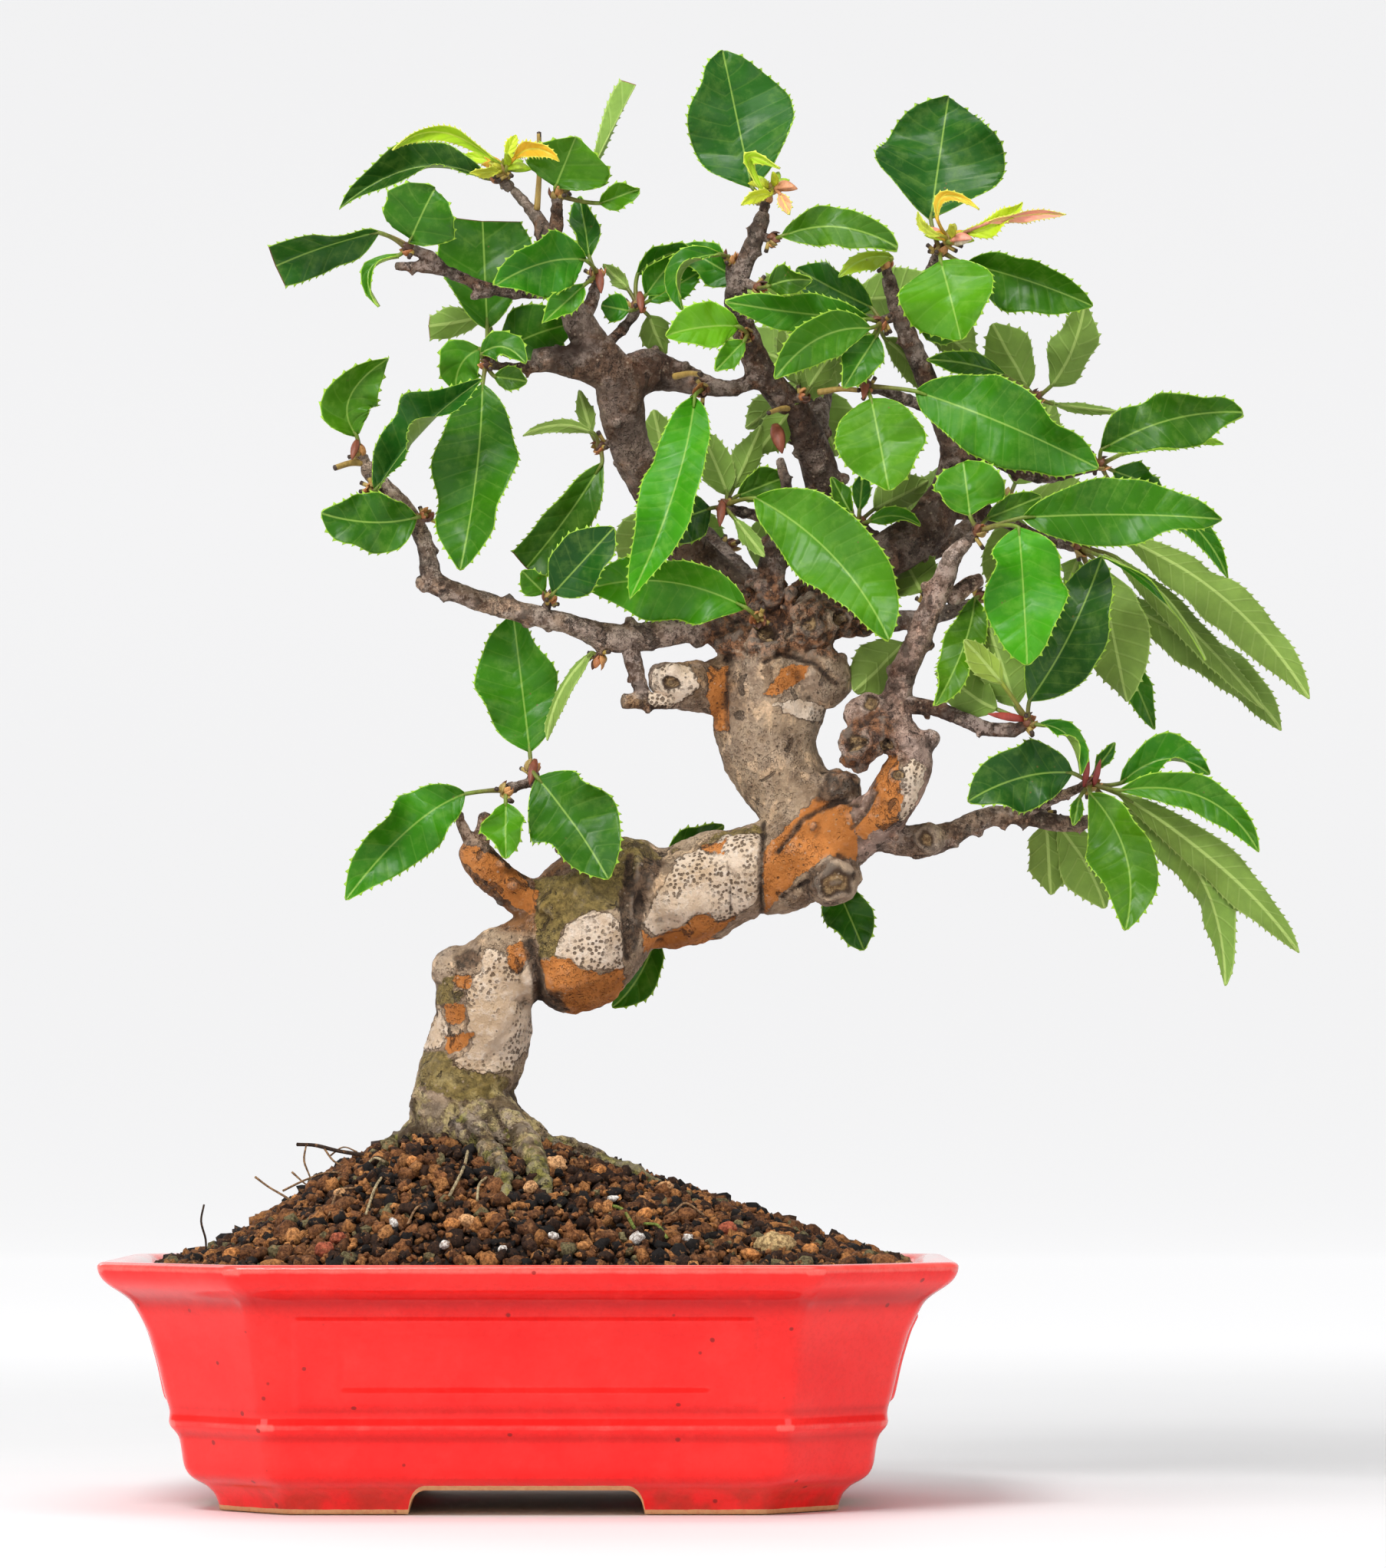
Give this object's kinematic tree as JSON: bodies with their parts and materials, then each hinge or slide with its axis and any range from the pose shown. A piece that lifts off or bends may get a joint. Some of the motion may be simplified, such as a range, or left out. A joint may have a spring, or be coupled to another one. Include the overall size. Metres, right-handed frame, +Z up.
{
  "type": "bonsai tree",
  "caption": "Chinese quince bonsai with a leaning, twisting trunk, spreading limbs and glossy toothed leaves, in a glazed pot with cut corners, filled with granular soil.",
  "frame": {"origin": "middle of the bounding box of tree and pot, at the level of the pot's feet", "axes": "+Z up; X along the pot's long side, towards the side that the crown leans to; -Y towards the viewer of the tree's front"},
  "size_m": [0.258, 0.14, 0.3161],
  "materials": {
    "red_glaze": "glossy coral red glaze, thin and brown at the feet",
    "granular_soil": "dull baked-clay grains with some pale and orange ones",
    "bark": "mottled bark in grey-brown, olive, cream and orange patches",
    "leaf_green": "glossy leaf with a pale toothed edge, paler under",
    "young_leaf": "soft yellow-green, yellow and pink young leaf",
    "drainage_plastic": "dull black netting"
  },
  "bodies": {
    "root": {"drainage_mesh_left": "drainage_plastic", "drainage_mesh_right": "drainage_plastic", "pot": "red_glaze", "shoot_right_fork": "young_leaf", "shoot_top": "young_leaf", "shoot_top_left": "young_leaf", "soil": "granular_soil", "spray_back_right": "leaf_green", "spray_big_centre": "leaf_green", "spray_centre_curl": "leaf_green", "spray_centre_left": "leaf_green", "spray_centre_mid": "leaf_green", "spray_crossing": "leaf_green", "spray_crown_front": "leaf_green", "spray_far_right": "leaf_green", "spray_front_right": "leaf_green", "spray_hanging": "leaf_green", "spray_inner_right": "leaf_green", "spray_inner_right_up": "leaf_green", "spray_leader_low": "leaf_green", "spray_leader_right": "leaf_green", "spray_leader_right_low": "leaf_green", "spray_left_bend": "leaf_green", "spray_left_low": "leaf_green", "spray_left_spur": "leaf_green", "spray_left_stub": "leaf_green", "spray_left_tip": "leaf_green", "spray_limb_left": "leaf_green", "spray_long_left": "leaf_green", "spray_long_left_low": "leaf_green", "spray_low_left": "leaf_green", "spray_low_left_top": "leaf_green", "spray_lower_right": "leaf_green", "spray_lower_right_back": "leaf_green", "spray_mid_right": "leaf_green", "spray_rear_left": "leaf_green", "spray_rear_left_mid": "leaf_green", "spray_rear_right": "leaf_green", "spray_rear_right_mid": "leaf_green", "spray_rear_top": "leaf_green", "spray_rear_top_mid": "leaf_green", "spray_right_back": "leaf_green", "spray_right_bud": "leaf_green", "spray_right_fork": "leaf_green", "spray_right_leader_back": "leaf_green", "spray_right_leader_left": "leaf_green", "spray_right_leader_tip": "leaf_green", "spray_right_mid": "leaf_green", "spray_top": "leaf_green", "spray_top_left": "leaf_green", "spray_top_left_front": "leaf_green", "spray_trunk_back": "leaf_green", "spray_trunk_knob": "leaf_green", "spray_upper_left_twig": "leaf_green", "wood": "bark"}
  },
  "joints": []
}
